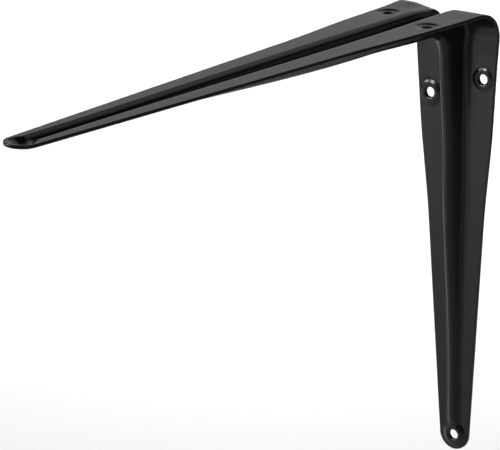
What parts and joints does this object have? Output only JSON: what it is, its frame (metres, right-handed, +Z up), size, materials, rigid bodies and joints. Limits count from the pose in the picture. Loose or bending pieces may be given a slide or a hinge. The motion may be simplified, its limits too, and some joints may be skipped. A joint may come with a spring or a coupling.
{
  "type": "shelf bracket",
  "caption": "Pressed steel shelf bracket: tapered arms at a right angle with a stiffening rib round the corner, dished tips and collared screw holes, painted satin black.",
  "frame": {"origin": "the line where the wall plane and the shelf plane meet, in the middle of the sheet's width", "axes": "+X out from the wall along the shelf arm, +Y across the sheet, +Z up, with the wall arm hanging along -Z"},
  "size_m": [0.2799, 0.0444, 0.1999],
  "materials": {
    "paint": "satin black paint over pressed steel sheet"
  },
  "bodies": {
    "root": {"bracket": "paint"}
  },
  "joints": []
}
